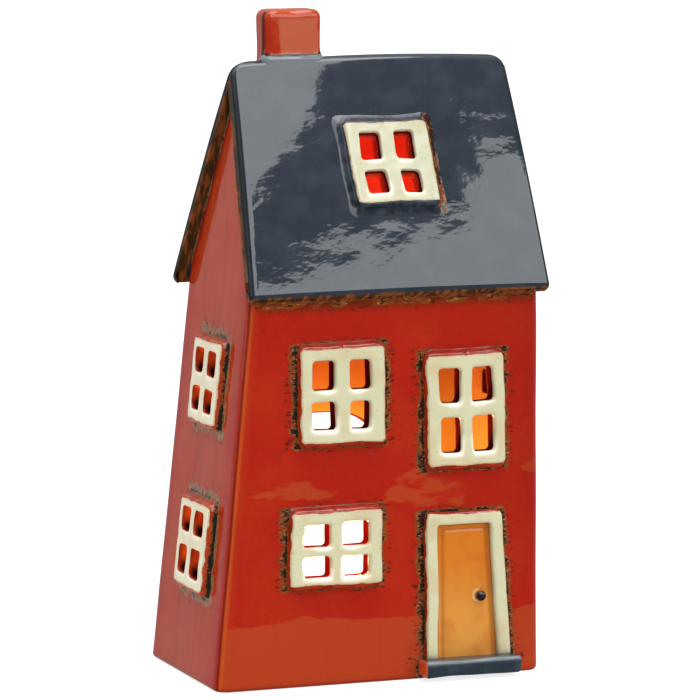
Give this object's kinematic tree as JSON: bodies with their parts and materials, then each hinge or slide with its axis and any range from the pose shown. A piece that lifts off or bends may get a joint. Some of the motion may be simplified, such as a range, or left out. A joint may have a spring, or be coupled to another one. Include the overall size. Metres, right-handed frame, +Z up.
{
  "type": "tealight house",
  "caption": "Glazed clay cottage with a steep slate-coloured roof, chimney, raised pierced windows and a door, lit by a tealight that slides in through an arched rear opening.",
  "frame": {"origin": "middle of the walls' footprint, on the flat underside that the house stands on", "axes": "+Z up, -Y out of the door side, +X to the right as seen facing the door"},
  "size_m": [0.119, 0.0814, 0.2233],
  "materials": {
    "wall_glaze": "gloss",
    "floor_glaze": "gloss",
    "roof_glaze": "gloss",
    "frame_glaze": "gloss",
    "door_glaze": "gloss",
    "knob_glaze": "gloss",
    "step_glaze": "gloss",
    "cup_metal": "satin",
    "wax": "satin",
    "wick_cotton": "matte"
  },
  "bodies": {
    "house": {"front_wall": "wall_glaze", "back_wall": "wall_glaze", "left_gable": "wall_glaze", "right_gable": "wall_glaze", "chimney": "wall_glaze", "floor_slab": "floor_glaze", "front_roof_slab": "roof_glaze", "back_roof_slab": "roof_glaze", "front_upper_left_window": "frame_glaze", "front_upper_right_window": "frame_glaze", "front_lower_window": "frame_glaze", "roof_window": "frame_glaze", "left_upper_window": "frame_glaze", "left_lower_window": "frame_glaze", "right_upper_window": "frame_glaze", "right_lower_window": "frame_glaze", "door_frame": "frame_glaze", "door_panel": "door_glaze", "door_knob": "knob_glaze", "doorstep": "step_glaze"},
    "tealight": {"tealight_cup": "cup_metal", "wick_tab": "cup_metal", "tealight_wax": "wax", "wick": "wick_cotton"}
  },
  "joints": [
    {"name": "tealight_slide", "type": "slide", "parent": "house", "child": "tealight", "axis": [0, 1, 0], "range_m": [-0.008, 0.065]}
  ]
}
